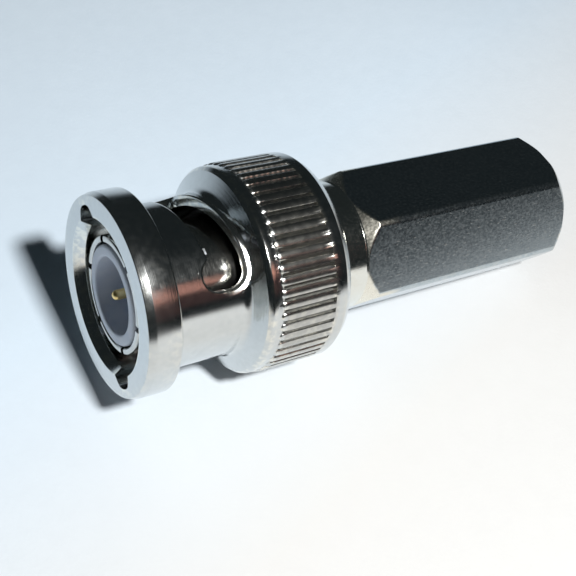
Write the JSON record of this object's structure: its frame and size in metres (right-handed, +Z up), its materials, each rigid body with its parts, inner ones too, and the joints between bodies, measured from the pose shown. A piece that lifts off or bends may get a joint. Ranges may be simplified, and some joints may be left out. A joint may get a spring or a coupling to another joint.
{
  "type": "coaxial cable plug",
  "caption": "Twist-on coaxial cable plug: bayonet coupling nut with knurled grip and two cam slots, slotted sleeve and pin in front, hexagonal body with a threaded cable bore behind.",
  "frame": {"origin": "centre of the bounding box's base, on the surface that the plug lies on", "axes": "+X runs from the mating end to the cable end and +Z is up; the plug's own axis lies in the XZ plane and dips toward +X by 6.57 degrees, because the plug rests on its grip and on the rear edge of its hexagon"},
  "size_m": [0.0384, 0.015, 0.016],
  "materials": {
    "nut": "bright nickel plate over turned brass",
    "body": "dull nickel plate with lengthwise scratches and worn corners",
    "contact": "nickel plate",
    "pin": "gold plate",
    "insulator": "moulded, slightly glossy",
    "rear_insulator": "moulded",
    "gasket": "soft moulded rubber",
    "ring": "bright spring wire",
    "front_washer": "stamped, zinc plated",
    "rear_washer": "stamped, zinc plated",
    "wave": "spring steel"
  },
  "bodies": {
    "plug_body": {"connector_body": "body", "outer_contact": "contact", "centre_pin": "pin", "front_insulator": "insulator", "rear_insulator": "rear_insulator", "mating_gasket": "gasket", "retaining_ring": "ring", "front_washer": "front_washer", "wave_washer": "wave"},
    "nut_carrier": {"rear_washer": "rear_washer"},
    "nut": {"coupling_nut": "nut"}
  },
  "joints": [
    {"name": "nut_float", "type": "slide", "parent": "plug_body", "child": "nut_carrier", "axis": [-0.9934, 0, 0.1144], "range_m": [0, 0.0005], "stiffness_N_per_m": 10000, "springref_m": -0.0004, "deforming": ["wave_washer"]},
    {"name": "nut_turn", "type": "hinge", "parent": "nut_carrier", "child": "nut", "pos_m": [-0.00455, 0, 0.00749], "axis": [-0.9934, 0, 0.1144], "continuous": true}
  ]
}
